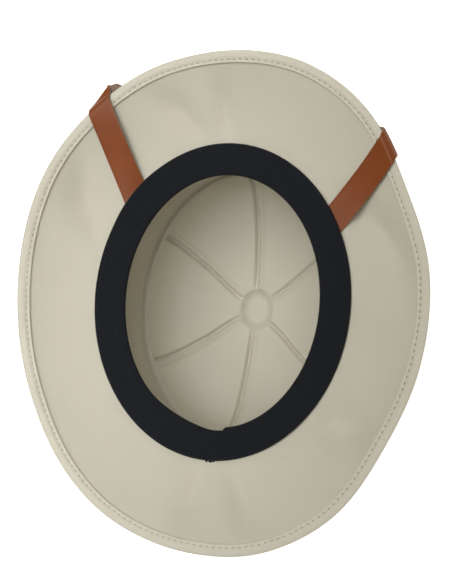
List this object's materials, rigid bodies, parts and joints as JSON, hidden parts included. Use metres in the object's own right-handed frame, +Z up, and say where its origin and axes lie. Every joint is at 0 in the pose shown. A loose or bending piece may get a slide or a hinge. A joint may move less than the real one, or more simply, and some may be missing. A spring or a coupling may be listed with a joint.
{
  "type": "pith helmet",
  "caption": "Moulded cloth pith helmet with six ribs, a crown button, a wide bound brim, a padded sweatband and a leather chin strap, lying open side up.",
  "frame": {"origin": "centre of the helmet's box at the level of the surface that its crown button lies on", "axes": "+Y to the front of the helmet, +Z up, which is out of the head opening as it lies on its crown"},
  "size_m": [0.2755, 0.3236, 0.1505],
  "materials": {
    "shell_cloth": "matte woven",
    "binding_cloth": "matte woven",
    "band_cloth": "matte ribbed",
    "strap_leather": "soft sheen"
  },
  "bodies": {
    "root": {"helmet_crown": "shell_cloth", "helmet_brim": "shell_cloth", "brim_binding": "binding_cloth", "sweatband": "band_cloth", "chin_strap": "strap_leather"}
  },
  "joints": []
}
